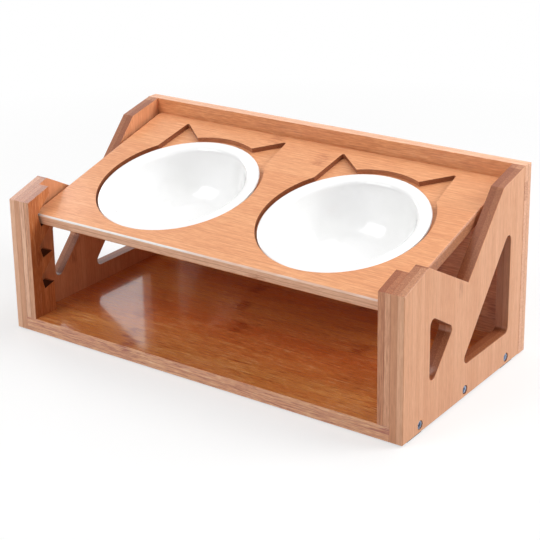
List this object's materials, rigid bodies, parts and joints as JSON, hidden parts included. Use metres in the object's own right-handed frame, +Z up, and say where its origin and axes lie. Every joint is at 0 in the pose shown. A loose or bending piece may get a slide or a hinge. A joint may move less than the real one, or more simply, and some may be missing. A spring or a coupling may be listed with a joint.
{
  "type": "elevated double cat bowl",
  "caption": "Bamboo stand with cat-ear side panels, a sloping board held in notched racks, and lift-out white ceramic bowls above an open shelf.",
  "frame": {"origin": "on the floor under the middle of the stand's outer box", "axes": "+X along the stand's width to the right, +Y from the front to the back panel, +Z up"},
  "size_m": [0.4, 0.2056, 0.1706],
  "materials": {
    "bamboo": "satin lacquered laminated bamboo",
    "beech_dowel": "plain hardwood",
    "zinc_steel": "bright zinc plate",
    "brass_insert": "turned",
    "rubber_pad": "matte",
    "glaze": "glossy white glaze"
  },
  "bodies": {
    "stand": {"side_panel_left": "bamboo", "side_panel_right": "bamboo", "shelf": "bamboo", "back_panel": "bamboo", "notched_rack_left": "bamboo", "notched_rack_right": "bamboo", "rear_rail": "bamboo", "rack_dowels_left": "beech_dowel", "rack_dowels_right": "beech_dowel", "rail_dowels": "beech_dowel", "shelf_dowels_left": "beech_dowel", "shelf_dowels_right": "beech_dowel", "side_bolts_left": "zinc_steel", "side_bolts_right": "zinc_steel", "back_bolts": "zinc_steel", "side_inserts_left": "brass_insert", "side_inserts_right": "brass_insert", "back_inserts": "brass_insert", "foot_pad_front_left": "rubber_pad", "foot_pad_front_right": "rubber_pad", "foot_pad_rear_left": "rubber_pad", "foot_pad_rear_right": "rubber_pad"},
    "board": {"tilt_board": "bamboo"},
    "left_bowl": {"bowl_left": "glaze"},
    "right_bowl": {"bowl_right": "glaze"}
  },
  "joints": [
    {"name": "board_lift", "type": "hinge", "parent": "stand", "child": "board", "pos_m": [0, -0.08627, 0.10402], "axis": [1, 0, 0], "range_deg": [0, 30]},
    {"name": "bowl_left_lift", "type": "slide", "parent": "board", "child": "left_bowl", "axis": [0, -0.2639, 0.9646], "range_m": [0, 0.06]},
    {"name": "bowl_right_lift", "type": "slide", "parent": "board", "child": "right_bowl", "axis": [0, -0.2639, 0.9646], "range_m": [0, 0.06]}
  ]
}
